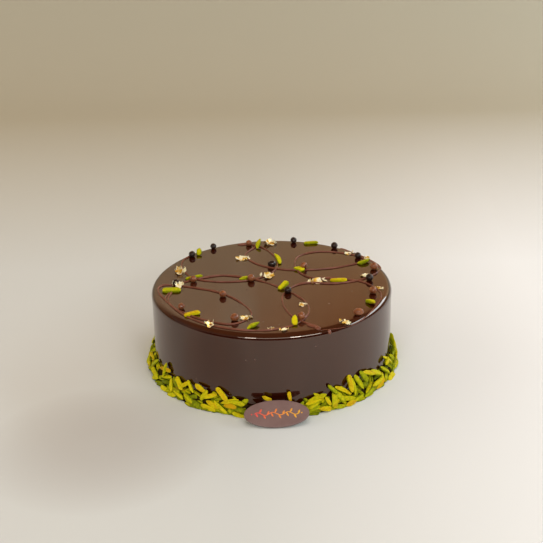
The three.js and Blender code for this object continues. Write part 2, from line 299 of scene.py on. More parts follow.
LINE_WIDTH = 1.5
LINE_HEIGHT = 1.15
SINK = 0.35  # how far things sit in the glaze
LINE_DEEP = (0.13, 0.04, 0.021, 1)
LINE_PALE = (0.23, 0.08, 0.045, 1)
BEAD_FLATS = 10
BEAD_ARC = (-20, 200)  # degrees round the bead that show, from one foot in the glaze to the other
TAPER_OVER = 2.5  # steps from each end over which a line thins out
LINES = [
    # from the back left edge, round to the middle and away to the back
    [(-66, 69), (-77, 53), (-76, 32), (-64.7, 11.5), (-42, 3.4), (-16, 6.5), (1, 21), (5.6, 42),
     (0, 66), (-12.6, 84), (-28, 88)],
    # across the middle, down the narrow front loop and round the whole front left edge
    [(-64.7, 10), (-41, 17), (-12, 5.5), (12, -17), (27, -41), (28.6, -62), (17, -82.5),
     (-8, -91.4), (-40, -84), (-66, -64.5), (-85, -34), (-94, -10), (-91, -1.8), (-79, -1.6)],
    # the large front left loop
    [(-79, -1.6), (-44, -18), (-24, -41), (-16.2, -64), (-30, -79), (-56, -68.5), (-78, -46),
     (-83.8, -31), (-81.8, -14)],
    # its way back to the middle, and the short line beside it
    [(-82.4, -14), (-76, 1), (-64.7, 10)],
    [(-84, -16), (-86.4, -29), (-84.2, -37)],
    # from the thick end at the front, up the narrow loop and across to the right edge
    [(36.2, -88.6), (18, -71), (9, -45), (11, -21), (26, -3.6), (55, -4.8), (79, 4.5), (93.4, 25),
     (84.5, 49), (62, 74.5)],
    # round the front right edge, back to the middle and round the back right loop
    [(36.2, -91), (62, -78), (82, -51), (88.6, -26), (76, -3), (50, 6.3), (32, 9), (21, 31),
     (25, 57), (43, 66.6), (72, 57.5), (82, 45), (80, 39.5)],
    # from the right edge across the back and up the far loop
    [(80, 39.5), (50, 27.5), (14, 26.5), (-11, 39.5), (-22.6, 62), (-12.6, 83)],
]
# [x, y, length, width, heading in degrees] of the fat ends
DROPS = [
    (30.5, -85.5, 11, 3.2, -36), (34.6, -89.2, 5, 4, -40), (-25, 88, 10, 3.4, 5),
    (-14, 84.6, 7, 2.8, -30),
]
SHOULDER_DROP = (-64.2, 66, 1.6)  # angle, how far down the shoulder, radius


def on_glaze(x, y, lift=0.0):
    """A point on the glaze's top, or this far above it."""
    return Vector((x, y, glaze_height(math.hypot(x, y)) + lift))


def trail(stops, step=1.1):
    """A smooth curve through these points on the top, as evenly placed points."""
    knots = [on_glaze(*stop) for stop in stops]
    knots = [2 * knots[0] - knots[1], *knots, 2 * knots[-1] - knots[-2]]
    path = []
    for before, start, end, after in zip(knots, knots[1:], knots[2:], knots[3:]):
        into, along, on = (
            max(1e-6, (b - a).length) ** 0.5
            for a, b in ((before, start), (start, end), (end, after))
        )
        straight_on = (end - start) / along
        leave = (start - before) / into - (end - before) / (into + along) + straight_on
        arrive = straight_on - (after - start) / (along + on) + (after - end) / on
        leave, arrive = leave * along, arrive * along
        count = max(2, round((end - start).length / step))
        for k in range(count):
            t = k / count
            path.append(
                start * (2 * t**3 - 3 * t**2 + 1)
                + leave * (t**3 - 2 * t**2 + t)
                + end * (3 * t**2 - 2 * t**3)
                + arrive * (t**3 - t**2)
            )
    path.append(knots[-2])
    return path


def bead(path, seed):
    """Rings of a round bead of chocolate that lies along a path, a little uneven in thickness."""
    rings = []
    for k, middle in enumerate(path):
        ahead = path[min(k + 1, len(path) - 1)] - path[max(k - 1, 0)]
        side = Vector((-ahead.y, ahead.x, 0)).normalized()
        out = Vector((middle.x, middle.y, 0)) * (1 if math.hypot(middle.x, middle.y) > 95 else 0)
        up = (Vector((0, 0, 60)) + out).normalized()
        near_end = min(1, (min(k, len(path) - 1 - k) + 0.6) / TAPER_OVER)
        swell = (0.92 + 0.35 * noise.noise(Vector((k * 0.09, seed * 7.3, 0)))) * near_end**0.5
        wobble = 0.16 * noise.noise(Vector((k * 0.16, 0, seed * 3.1)))
        ring = []
        for step in range(BEAD_FLATS):
            turn = math.radians(
                BEAD_ARC[0] + (BEAD_ARC[1] - BEAD_ARC[0]) * step / (BEAD_FLATS - 1)
            )
            height = -SINK * 0.6 + (LINE_HEIGHT + SINK * 0.6) * math.sin(turn) * swell
            ring.append(
                middle + side * (LINE_WIDTH / 2 * math.cos(turn) * swell + wobble) + up * height
            )
        rings.append(ring)
    return rings


def lump(long, wide, high, turns, rows, uneven, seed):
    """Rings of a rounded lump along x, a little uneven."""
    rings = []
    for row in range(rows + 1):
        along = math.pi * (0.03 + 0.94 * row / rows)
        ring = []
        for k in range(turns):
            turn = 2 * math.pi * k / turns
            point = Vector(
                (
                    -math.cos(along) * long / 2,
                    math.sin(along) * math.cos(turn) * wide / 2,
                    math.sin(along) * math.sin(turn) * high / 2,
                )
            )
            grow = 1 + uneven * noise.noise(point * 1.1 + Vector((seed * 9.7, seed * 3.3, seed)))
            ring.append(point * grow)
        rings.append(ring)
    return rings


def put(matrix, rings):
    """The same rings, moved and turned."""
    return [[matrix @ Vector(point) for point in ring] for ring in rings]


points, faces = [], []
for seed, stops in enumerate(LINES):
    skin(bead(trail(stops), seed), points, faces)
for seed, (x, y, long, wide, heading) in enumerate(DROPS):
    at = Matrix.Translation(on_glaze(x, y)) @ Matrix.Rotation(math.radians(heading), 4, "Z")
    skin(put(at, lump(long, wide, wide * 0.85, 20, 16, 0.16, seed)), points, faces)
angle, slide, size = SHOULDER_DROP
angle, slide = math.radians(angle), math.radians(slide)
out = CAKE_RADIUS - SHOULDER + (SHOULDER + 0.4) * math.sin(slide)
at = Matrix.Translation(
    (
        out * math.cos(angle),
        out * math.sin(angle),
        CAKE_HEIGHT - SHOULDER + (SHOULDER + 0.4) * math.cos(slide),
    )
)
at = at @ Matrix.Rotation(slide, 4, (-math.sin(angle), math.cos(angle), 0))
at = at @ Matrix.Rotation(angle, 4, "Z")
skin(put(at, lump(size * 2.4, size * 1.8, size * 1.3, 20, 14, 0.08, 5)), points, faces)

milk_chocolate, draw_on, shader = new_finish("piped_chocolate", IOR=1.46)
vary(
    shader,
    "Base Color",
    draw_on.blend(draw_on.cloud(180, 3).clamp(0.3, 0.7), LINE_DEEP, LINE_PALE),
)
vary(shader, "Roughness", 0.26 + 0.16 * draw_on.cloud(320, 2))
vary(shader, "Normal", draw_on.relief(draw_on.cloud(700, 2), 0.00006))
add_piece("piped_lines", points, faces, milk_chocolate, "cake")

# ---------------------------------------------------------------- the crisp pearls
# Puffed cereal balls about 6 mm across, tumbled in dark or milk chocolate and polished. They were
# set down by hand while the glaze was soft, so each one sits a little way in.

# [x, y, radius, stretch along x]
DARK_PEARLS = [
    (-69.7, 60.9, 2.9, 1), (-51.6, 79.4, 2.7, 1), (21, 90.4, 2.8, 1), (57.1, 74.7, 3, 1),
    (76.3, 50.4, 2.8, 1), (82, 0.4, 3.1, 1), (0.7, 34.7, 3, 1.2), (13.4, -21.7, 3, 1),
    (-79.7, -1, 2.8, 1.1),
]
MILK_PEARLS = [
    (-19.7, 85.7, 2.7, 1), (88.1, 24, 3.2, 1.05), (82.5, -26, 3.1, 1), (67.4, -66.7, 3, 1.35),
    (28.2, 29.2, 3.1, 1), (-16.9, 4.7, 3.1, 1), (-65.4, 5.4, 2.9, 1), (-39.7, -26.7, 2.9, 1),
    (-71.9, -48.9, 2.7, 1), (-29, -72.4, 3.2, 1.05), (22.7, -72.4, 3.2, 1),
]
PEARL_UNEVEN = 0.07
PEARL_SEED = 11
PEARL_KINDS = [
    ("dark_pearls", DARK_PEARLS, (0.012, 0.006, 0.005, 1), (0.026, 0.011, 0.007, 1)),
    ("milk_pearls", MILK_PEARLS, (0.13, 0.037, 0.014, 1), (0.33, 0.12, 0.043, 1)),
]
for name, pearls, deep, pale in PEARL_KINDS:
    points, faces = [], []
    for seed, (x, y, radius, stretch) in enumerate(pearls):
        at = Matrix.Translation(on_glaze(x, y, radius - SINK))
        if stretch == 1:
            at = at @ Matrix.Rotation(seed, 4, "Z")
        across = radius * 2
        ball = lump(across * stretch, across, across, 28, 20, PEARL_UNEVEN, seed + PEARL_SEED)
        skin(put(at, ball), points, faces)
    finish, draw_on, shader = new_finish(name, IOR=1.48, Coat_Weight=0.25, Coat_Roughness=0.1)
    vary(shader, "Base Color", draw_on.blend(draw_on.cloud(420, 3).clamp(0.35, 0.7), deep, pale))
    vary(shader, "Roughness", 0.24 + 0.2 * draw_on.cloud(500, 2))
    vary(shader, "Normal", draw_on.relief(draw_on.cloud(650, 3), 0.00014))
    add_piece(name, points, faces, finish, "cake")

# ---------------------------------------------------------------- the pistachio slivers
# Skinned green kernels cut lengthwise: a flat cut face, a rounded back and two pointed ends, no
# two alike. The flesh runs from leaf green to yellow, with traces of the ochre skin.

SLIVER_THICK = 2.8
TOP_SLIVER_THICK = 3.3  # the plumper ones are picked for the top
SLIVER_FLATS = 12
SLIVER_ROWS = 10
SLIVER_CREASE = 34  # degrees: a knife's cut stays sharp, and the rounded back is smooth
FLAT_CUT = 0.45  # the flat cut face lies this far under the middle, in half thicknesses
BACK_CUT = 0.66  # and the knife trims the back at this height
FLESH_TONES = [
    (0.0, (0.04, 0.065, 0.001, 1)), (0.25, (0.13, 0.17, 0.002, 1)), (0.5, (0.35, 0.39, 0.003, 1)),
    (0.75, (0.66, 0.58, 0.006, 1)), (1.0, (0.55, 0.33, 0.004, 1)),
]
SKIN_OCHRE = (0.32, 0.14, 0.006, 1)
# Painted light: each sliver's back, which faces the light, is drawn lighter and yellower, and its
# flat cut face below darker.
BACK_PAINTED_LIGHT = 0.24
TOP_SHAPES_SEED = 7
BUMPS_SEED = 5
# How much of each half runs to its end, and how wide that end is left, for the near and far end
LEAF = ((0.9, 0.2), (1.0, 0.12))
BAR = ((0.3, 0.6), (0.35, 0.5))
DROP = ((0.45, 0.45), (1.0, 0.12))
# [x, y, heading in degrees, length, width, lift of the far end, bend, cut, from green 0 to ochre 1]
TOP_SLIVERS = [
    (-63.7, 67.2, 80, 8.5, 4.6, 4, 0, DROP, 0.36), (-10.6, 82.6, 80, 13, 4.4, 5, 0.6, LEAF, 0.36),
    (5.4, 46.8, 108, 15.5, 4, 4, -0.9, DROP, 0.42), (24.1, 26.1, -48, 9, 6.4, 0, 0.2, BAR, 0.46),
    (36.7, 87.6, 8, 13, 4.4, 0, 0.2, BAR, 0.42), (80.7, 39.4, 35, 13, 5.2, 1.5, -0.5, DROP, 0.3),
    (56.3, 1.2, 0, 14.3, 4.8, 0, 0, BAR, 0.68), (78.9, -46.4, -60, 11, 5.2, 2, 0.8, DROP, 0.42),
    (9.9, -10, 55, 13.5, 4.6, 2, -0.4, BAR, 0.42), (-21.1, 9.2, 20, 12.5, 6.6, 0, 0.5, LEAF, 0.34),
    (-65.4, 13, 26, 15, 5, 0, 0.4, BAR, 0.34), (-82.3, -13.7, 2, 15.2, 6.6, 0, 0.2, BAR, 0.33),
    (-62.6, -60.7, 18, 13, 4.6, 1, 0.5, BAR, 0.72),
    (-14.4, -84.6, 42, 13, 4.6, 1.5, 0.7, LEAF, 0.36),
    (17.6, -78.6, 92, 10.5, 4.8, 4, 0.4, DROP, 0.5),
]


def seeded_draws(seed):
    """The same draws each time, so that the slivers never change."""
    state = seed

    def draw(low, high):
        nonlocal state
        state = (state * 1664525 + 1013904223) % 4294967296
        return low + (high - low) * state / 4294967296

    return draw


def sliver(long, wide, thick, bend, shape, ends=None):
    """Rings of one sliver along x: cut flat below, its back trimmed, its two ends cut unlike."""
    ends = ends or [(shape(0.3, 1.0), shape(0.1, 0.5)) for _ in range(2)]
    square = shape(0.45, 0.9)  # below 1 its sides are cut flatter
    twist = shape(-0.3, 0.3)
    trim = shape(-0.7, 0.7)  # which way the knife ran along its back
    seed = Vector((shape(0, 90), shape(0, 90), shape(0, 90)))
    rings = []
    for row in range(SLIVER_ROWS + 1):
        along = -math.cos(math.pi * (0.03 + 0.94 * row / SLIVER_ROWS))
        taper, stub = ends[1 if along > 0 else 0]
        left = min(1, (1 - abs(along)) / taper)
        full = stub + (1 - stub) * math.sin(left * math.pi / 2) ** 0.85
        ring = []
        for k in range(SLIVER_FLATS):
            turn = 2 * math.pi * k / SLIVER_FLATS
            across = math.copysign(abs(math.cos(turn)) ** square, math.cos(turn))
            up = math.copysign(abs(math.sin(turn)) ** square, math.sin(turn))
            up = min(max(up, -FLAT_CUT), BACK_CUT + trim * across)
            up = (up * (0.4 + 0.6 * full if up > 0 else 1) * full + FLAT_CUT) / (1 + FLAT_CUT)
            y = across * full * wide / 2 + bend * (1 - along * along) + twist * along * up * thick
            point = Vector((along * long / 2, y, up * thick))
            ring.append(point + noise.noise_vector(point / 2.2 + seed) * 0.14)
        rings.append(ring)
    return rings


def pistachio_finish(name):
    """Matt green flesh: each sliver has its own green with painted light on its back, and ochre
    skin left in places.
    """
    finish, draw_on, shader = new_finish(name, IOR=1.45, Specular_IOR_Level=0.09)
    own = draw_on.node("ShaderNodeAttribute", {"attribute_name": "own_green"}, {}, "Fac")
    grain = draw_on.cloud(420, 4, 0.6)
    flesh = draw_on.node(
        "ShaderNodeValToRGB", {"stops": FLESH_TONES}, {0: own + 0.6 * (grain - 0.5)}
    )
    skin_left = draw_on.cloud(170, 3).clamp(0.58, 0.7) * 0.55
    vary(shader, "Base Color", draw_on.blend(skin_left, flesh, SKIN_OCHRE))
    vary(shader, "Roughness", 0.45 + 0.25 * grain)
    vary(shader, "Normal", draw_on.relief(grain * 0.7 + draw_on.cloud(1500, 2) * 0.3, 0.0003))
    return finish


def colour_slivers(piece, greens):
    """Gives each sliver of a piece its own green, with painted light: lighter and yellower on its
    back, darker on its cut face.
    """
    held = piece.data.attributes.new("own_green", "FLOAT", "POINT")
    painted_light_round = [
        BACK_PAINTED_LIGHT * math.sin(2 * math.pi * k / SLIVER_FLATS) for k in range(SLIVER_FLATS)
    ]
    rows = len(piece.data.vertices) // len(greens) // SLIVER_FLATS
    held.data.foreach_set(
        "value", [green + tint for green in greens for _ in range(rows) for tint in painted_light_round]
    )


pistachio = pistachio_finish("pistachio")
noise.seed_set(BUMPS_SEED)  # else noise_vector follows the clock, and the bumps differ each run
shape = seeded_draws(TOP_SHAPES_SEED)
points, faces, greens = [], [], []
for x, y, heading, long, wide, lift, bend, cut, green in TOP_SLIVERS:
    at = (
        Matrix.Translation(on_glaze(x, y, lift / 2 - SINK))
        @ Matrix.Rotation(math.radians(heading), 4, "Z")
        @ Matrix.Rotation(-math.asin(lift / long), 4, "Y")
    )
    skin(put(at, sliver(long, wide, TOP_SLIVER_THICK, bend, shape, cut)), points, faces)
    greens.append(green)
piece = add_piece("top_slivers", points, faces, pistachio, "cake", SLIVER_CREASE)
colour_slivers(piece, greens)

# ---------------------------------------------------------------- the gold leaf
# Scraps torn from loose edible gold leaf with tweezers. Each one crumples as it lands and stands up
# from the glaze in folds, in soft patches of painted white glint and orange gold.

# [x, y, spread, height]
GOLD = [
    (-25.4, 54, 12, 3.6), (-0.4, 87.5, 11, 4.5), (-3.3, 14, 11, 3.6), (-76.9, 25.4, 10.5, 6.4),
    (-78, -2.2, 8, 5.2), (37.4, 0.4, 13, 3.4), (79.3, 8.3, 8, 2.6), (68.9, 60.4, 7.5, 2.6),
    (84, 47.6, 5, 3.4), (88.9, -16.3, 7, 2), (24.3, -46, 8, 2), (56, -78.1, 8.5, 3),
    (-0.9, -88.1, 5, 2.2), (8.9, -90.3, 6.8, 2.0), (-19.7, -69.6, 9, 3), (-48.3, -78.1, 8.5, 3.6),
]
SCRAP_THICK = 0.12  # thicker than real leaf, so that it holds as a closed mesh
SCRAP_SPOKES, SCRAP_HOOPS = 15, 3
SCRAP_CREASES = 3
SCRAP_SUNK = 0.15
GOLD_SEED = 11
GOLD_PAINTED_GLINT = (1.0, 0.97, 0.7, 1)
GOLD_DEEP = (0.88, 0.58, 0.08, 1)


def crumpled_leaf(size, draw):
    """Points and faces of one torn scrap, both sides and its edge, folded along a few creases."""
    spokes, hoops = SCRAP_SPOKES, SCRAP_HOOPS
    tear = [draw(0.5, 1.0) for _ in range(spokes)]
    creases = [
        (draw(0, math.pi), draw(-0.25, 0.25) * size, draw(0.5, 1.6)) for _ in range(SCRAP_CREASES)
    ]
    sheet = [(0.0, 0.0)]
    for hoop in range(1, hoops + 1):
        for k in range(spokes):
            turn = 2 * math.pi * k / spokes
            outwards = hoop / hoops
            reach = size / 2 * outwards * (tear[k] * outwards + 0.7 * (1 - outwards))
            sheet.append((reach * math.cos(turn), reach * math.sin(turn)))
    points = []
    for side in (1, -1):
        for x, y in sheet:
            fold = 0
            for turn, aside, steep in creases:
                fold += steep * abs(x * math.cos(turn) + y * math.sin(turn) - aside) * 0.45
            points.append(Vector((x, y, fold + side * SCRAP_THICK / 2)))
    under = len(sheet)
    faces = []
    for k in range(spokes):
        n = (k + 1) % spokes
        faces.append((0, 1 + k, 1 + n))
        faces.append((under, under + 1 + n, under + 1 + k))
        for hoop in range(hoops - 1):
            a, b = 1 + hoop * spokes + k, 1 + hoop * spokes + n
            faces.append((a, a + spokes, b + spokes, b))
            faces.append((under + a, under + b, under + b + spokes, under + a + spokes))
        a, b = 1 + (hoops - 1) * spokes + k, 1 + (hoops - 1) * spokes + n
        faces.append((a, under + a, under + b, b))
    return points, faces


points, faces = [], []
draw = seeded_draws(GOLD_SEED)
for x, y, spread, height in GOLD:
    scraps = 3 + round(spread / 6)
    for k in range(scraps):
        main = k == scraps // 2
        size = spread * (draw(0.85, 1.0) if main else draw(0.28, 0.5))
        tilt = draw(0.35, 0.8) if main else draw(-1.5, 1.5)
        leaf_points, leaf_faces = crumpled_leaf(size, draw)
        turned = Matrix.Rotation(draw(-0.6, 0.6) if main else draw(0, 6.28), 4, "Z")
        turned = turned @ Matrix.Rotation(tilt, 4, "X")
        leaf_points = [turned @ point for point in leaf_points]
        low = min(point.z for point in leaf_points)
        high = max(point.z for point in leaf_points)
        press = height * draw(0.75, 1.1) / (high - low)
        shift = (k / (scraps - 1) - 0.5) * (spread - size * 0.6)
        spot = on_glaze(x + shift, y + draw(-0.5, 0.5) * size * 0.5, -SCRAP_SUNK)
        first = len(points)
        for point in leaf_points:
            points.append(spot + Vector((point.x, point.y, (point.z - low) * press)))
        faces.extend(tuple(first + v for v in face) for face in leaf_faces)

gold, draw_on, shader = new_finish("gold_leaf", Roughness=0.28)
# Painted glint: in soft patches the leaf is a pale, barely metal white that stands for its shine;
# between them it is orange metal gold.
fold = draw_on.cloud(260, 1).clamp(0.47, 0.62)
vary(shader, "Base Color", draw_on.blend(fold, GOLD_PAINTED_GLINT, GOLD_DEEP))
vary(shader, "Metallic", 0.15 + 0.45 * fold)
vary(shader, "Normal", draw_on.relief(draw_on.cloud(900, 3), 0.0002))
add_piece("gold_leaf", points, faces, gold, "cake", crease=35)

# ---------------------------------------------------------------- the heap round the foot
# Handfuls of the same slivers pressed against the foot of the cake. They lie on a steep slope, two
# or three deep, level at the table and standing up higher on the sides, few behind the plaque.

HEAP_FOOT = 107.6  # radius at the table
HEAP_LEAN = 0.46  # how much the slope draws in for each millimetre up
HEAP_TOP_RADIUS = 102
TOUCHING = 0.1  # the slivers rest this far from the cake's side
GAP = 0.3  # and keep this far from the plaque
FRONT_PROP = {"out": 8.5, "spread": 8, "top": 13, "fade": 5}  # the plaque's rest: deep but low
# [how many, height, how far they turn from level in degrees, how far short of the front]
HEAP_ROWS = [(34, 2.2, 22, 0), (30, 6, 40, 8), (26, 10.5, 60, 14), (12, 15, 80, 20)]
ROW_DEPTH = 0.6  # the rows lie this far in behind the ones that stand out
HEAP_GREEN = 0.37  # their own green, before each one's chance
OFF_GLAZE = 1.6  # the high ones stand off the glaze, which mirrors their backs: this far
HIGH_UP = 15  # at this height
PLACES_SEED, HEAP_SHAPES_SEED = 20, 31
# [angle from the front, height, heading on the slope, length, width, colour]
STANDING_OUT = [
    (-68, 6, -11, 16, 4, 0.4), (-58, 16, 87, 13, 4, 0.5), (-52, 8, -55, 11, 4, 0.5),
    (-47, 12, -34, 13, 4, 0.55), (-46, 4, -7, 14, 4, 0.55), (-43, 14, 36, 12, 3, 0.6),
    (-36, 3, -7, 12, 5, 0.1), (-34, 16, -19, 11, 4, 0.65), (-32, 11, 68, 10, 4, 0.45),
    (-29, 3, -5, 14, 4, 0.55), (-27, 6, -13, 13, 4, 0.64), (-23, 15, -39, 14, 4, 0.64),
    (-19, 7, 2, 11, 4, 0.84), (-16, 10, -1, 13, 4, 0.4), (-7, 6, -15, 13, 4, 0.3),
    (-3, 15, -20, 8, 3, 0.65), (1, 6, 12, 14, 4, 0.3), (7, 16, -88, 8, 3, 0.7),
    (8, 6, -25, 12, 4, 0.3), (17, 7, 21, 11, 4, 0.4), (18, 10, 13, 16, 4, 0.55),
    (22, 3, -15, 11, 4, 0.6), (24, 8, -67, 8, 3, 0.6), (27, 8, 80, 14, 5, 0.42),
    (30, 9, -61, 11, 5, 0.35), (32, 12, -35, 16, 3, 0.6), (35, 2, 11, 12, 4, 0.72),
    (36, 16, 85, 14, 5, 0.66), (38, 12, 78, 14, 3, 0.4), (41, 14, -70, 14, 4, 0.35),
    (44, 17, -68, 11, 5, 0.2), (48, 17, -26, 15, 4, 0.6), (53, 6, 2, 16, 4, 0.5),
    (54, 13, -31, 16, 5, 0.45), (65, 15, 18, 9, 4, 0.55),
]
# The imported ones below, in the same way: [how many, height, turn, short of the front, depth]
PACKED_ROWS = [
    (66, 2, 30, 0, 1.7), (64, 4.5, 50, 5, 1.9), (60, 7.5, 60, 9, 2.0), (52, 10.5, 70, 14, 1.8),
]


def front_prop(height, angle):
    """How much further out the heap reaches under the plaque."""
    turn = (angle + 180) % 360 - 180
    under = min(1, max(0, (FRONT_PROP["top"] - height) / FRONT_PROP["fade"]))
    return FRONT_PROP["out"] * under * math.exp(-((turn / FRONT_PROP["spread"]) ** 2))


def slope_radius(height, angle):
    """How far out the heap's slope lies at this height, this far round from the front."""
    slope = max(HEAP_TOP_RADIUS, HEAP_FOOT - HEAP_LEAN * height)
    return slope + front_prop(height, angle)


def on_slope(angle, height, heading, depth, roll, tip):
    """Where a sliver lies on the heap's slope."""
    return (
        Matrix.Rotation(math.radians(angle), 4, "Z")
        @ Matrix.Translation((0, -slope_radius(height, angle), max(height, 1.2)))
        @ Matrix.Rotation(math.atan2(1, HEAP_LEAN), 4, "X")
        @ Matrix.Rotation(math.radians(heading), 4, "Z")
        @ Matrix.Rotation(tip, 4, "Y")
        @ Matrix.Rotation(roll, 4, "X")
        @ Matrix.Translation((0, 0, -SLIVER_THICK * 0.5 - depth))
    )


def settle(rings):
    """A sliver comes to rest on the table and against the cake's side."""
    rested = []
    for ring in rings:
        rested.append([])
        for x, y, z in ring:
            near = max(1.0, (CAKE_RADIUS + TOUCHING) / math.hypot(x, y))
            rested[-1].append(Vector((x * near, y * near, max(z, 0.05))))
    return rested


# The plaque's size and place, since the slivers keep clear of it. It lies at lean to the table.
PLAQUE = {"wide": 50, "high": 21.8, "thick": 2, "lean": 41, "turn": 1.2, "x": 2, "y": -113.2}
plaque_lean = math.radians(PLAQUE["lean"])
half_high, half_thick = PLAQUE["high"] / 2, PLAQUE["thick"] / 2
plaque_middle = half_high * math.sin(plaque_lean) + half_thick * math.cos(plaque_lean)
plaque_at = (
    Matrix.Translation((PLAQUE["x"], PLAQUE["y"], plaque_middle))
    @ Matrix.Rotation(plaque_lean, 4, "X")
    @ Matrix.Rotation(math.radians(PLAQUE["turn"]), 4, "Z")
)


def meets_plaque(rings):
    """Whether a sliver would stand in the plaque or in front of it."""
    back = plaque_at.inverted()
    for ring in rings:
        for point in ring:
            x, y, z = back @ point
            across, up = x / (PLAQUE["wide"] / 2 + GAP), y / (half_high + GAP)
            if across**2 + up**2 < 1 and z > -half_thick - GAP:
                return True
    return False


draw = seeded_draws(PLACES_SEED)
rows = []
for count, height, turn, stop in HEAP_ROWS:
    for i in range(count):
        rows.append(
            (
                stop + (360 - 2 * stop) * (i + 0.5 + draw(-0.35, 0.35)) / count,
                height + draw(-1.5, 1.5),
                draw(-turn, turn),
                draw(10, 16),
                draw(3, 5),
            )
        )
shape = seeded_draws(HEAP_SHAPES_SEED)
laid = []  # [where, length, width, bend, colour]
for angle, height, heading, long, wide in rows:
    bend = draw(-0.4, 0.4)
    roll, tip = draw(-0.45, 0.45), draw(-0.12, 0.12)
    green = HEAP_GREEN + shape(-0.25, 0.2) + shape(-0.12, 0.22)
    at = on_slope(angle, height, heading, ROW_DEPTH - OFF_GLAZE * height / HIGH_UP, roll, tip)
    laid.append((at, long, wide * 0.9, bend, green))
for angle, height, heading, long, wide, green in STANDING_OUT:
    bend = draw(-0.4, 0.4)
    roll, tip = draw(-0.45, 0.45), draw(-0.12, 0.12)
    at = on_slope(angle, height, heading, -OFF_GLAZE * height / HIGH_UP, roll, tip)
    laid.append((at, long, wide, bend, green))
# The packed slivers get darker greens than the rest, as painted shade deep in the heap.
for count, height, turn, stop, depth in PACKED_ROWS:
    for i in range(count):
        angle = stop + (360 - 2 * stop) * (i + 0.5 + shape(-0.45, 0.45)) / count
        at_height, heading = height + shape(-1.5, 1.5), shape(-turn, turn)
        roll, tip = shape(-0.6, 0.6), shape(-0.15, 0.15)
        at = on_slope(angle, at_height, heading, depth, roll, tip)
        laid.append((at, shape(9, 14), shape(3, 4.6), shape(-0.4, 0.4), shape(0.0, 0.5)))

points, faces, greens = [], [], []
for at, long, wide, bend, green in laid:
    rings = settle(put(at, sliver(long, wide, SLIVER_THICK, bend, shape)))
    if not meets_plaque(rings):
        skin(rings, points, faces)
        greens.append(green)
piece = add_piece(
    "heaped_slivers", points, faces, pistachio, "pistachio_heap", SLIVER_CREASE
)
colour_slivers(piece, greens)

# ---------------------------------------------------------------- the imported crumbs
# Broken bits and crumbs of pistachio that fell to the bottom of the heap. They lie packed between
# the slivers and the foot of the cake and show only through the gaps, painted near black as the
# shade there.

CORE_FLATS = 360
# [radius, height] round the ring's section, from its inner foot out and back
CORE_SECTION = [
    (100.15, 0.0), (105.2, 0.0), (104.9, 1.5), (103.4, 5), (101.6, 8.6), (100.5, 9.6),
    (100.15, 9.6),
]
FRONT_DIP = {"share": 0.45, "spread": 11}  # lower at the front, over this many degrees
CRUMB_LUMPS = 0.9
# Painted shade: the crumbs are near black, for the shade between the slivers.
CRUMB_SHADE_DEEP = (0.012, 0.006, 0.003, 1)
CRUMB_SHADE_PALE = (0.045, 0.035, 0.004, 1)

points, faces = [], []
for k in range(CORE_FLATS):
    turn = 2 * math.pi * k / CORE_FLATS
    from_front = (math.degrees(turn) + 180) % 360 - 180
    dip = 1 - FRONT_DIP["share"] * math.exp(-((from_front / FRONT_DIP["spread"]) ** 2))
    for step, (inner, height) in enumerate(CORE_SECTION):
        radius = inner + front_prop(height, math.degrees(turn)) * (0 < step < 5)
        x, y = radius * math.sin(turn), -radius * math.cos(turn)
        swell = CRUMB_LUMPS * noise.noise(Vector((x, y, height * 1.4)) / 2.4) if 0 < step < 6 else 0
        grow = 1 + swell / radius if height > 0 else 1
        points.append((x * grow, y * grow, max(0, height * dip + swell * (height > 2))))
ring_size = len(CORE_SECTION)
for k in range(CORE_FLATS):
    for step in range(ring_size):
        a, b = k * ring_size + step, k * ring_size + (step + 1) % ring_size
        n = ((k + 1) % CORE_FLATS) * ring_size
        faces.append((a, b, n + (step + 1) % ring_size, n + step))

crumbs, draw_on, shader = new_finish("packed_crumbs", IOR=1.45, Specular_IOR_Level=0.05)
grain = draw_on.cloud(420, 4, 0.6)
vary(shader, "Base Color", draw_on.blend(grain.clamp(0.35, 0.65), CRUMB_SHADE_DEEP, CRUMB_SHADE_PALE))
vary(shader, "Roughness", 0.6 + 0.25 * grain)
vary(shader, "Normal", draw_on.relief(grain, 0.0008))
add_piece("packed_crumbs", points, faces, crumbs, "pistachio_heap")

# ---------------------------------------------------------------- the plaque
# An oval of tempered chocolate cast in a shallow mould: flat satin face, soft edges. It stands on
# its lower edge before the heap and leans back.

PLAQUE_FLATS = 128
# [how far in, height in half thicknesses] from the back's rim over the soft edge to the face's rim
PLAQUE_EDGE = [
    (1.6, -1.0), (0.5, -1.0), (0.15, -0.85), (0.0, -0.5), (0.0, 0.5), (0.15, 0.85), (0.5, 1.0),
    (1.6, 1.0),
]
PLAQUE_DEEP = (0.166, 0.1, 0.091, 1)
PLAQUE_BLOOM = (0.214, 0.137, 0.128, 1)

rings = []
for inset, height in PLAQUE_EDGE:
    ring = []
    for k in range(PLAQUE_FLATS):
        turn = 2 * math.pi * k / PLAQUE_FLATS
        ring.append(
            (
                (PLAQUE["wide"] / 2 - inset) * math.cos(turn),
                (half_high - inset) * math.sin(turn),
                height * half_thick,
            )
        )
    rings.append(ring)
points, faces = [], []
skin(put(plaque_at, rings), points, faces)
plaque_chocolate, draw_on, shader = new_finish("plaque_chocolate", IOR=1.47)
bloom = draw_on.cloud(70, 4)
vary(shader, "Base Color", draw_on.blend(bloom.clamp(0.3, 0.7), PLAQUE_DEEP, PLAQUE_BLOOM))
vary(shader, "Roughness", 0.34 + 0.14 * draw_on.cloud(240, 3))
vary(shader, "Normal", draw_on.relief(draw_on.cloud(500, 3), 0.00005))
add_piece("plaque_oval", points, faces, plaque_chocolate, "plaque", crease=40)

# ---------------------------------------------------------------- the printed sprig
# A wavy stem with twelve leaves in coloured cocoa butter, coral at the left running into gold at
# the right. It is printed on the plaque's face, so it stands up by hardly more than a film.

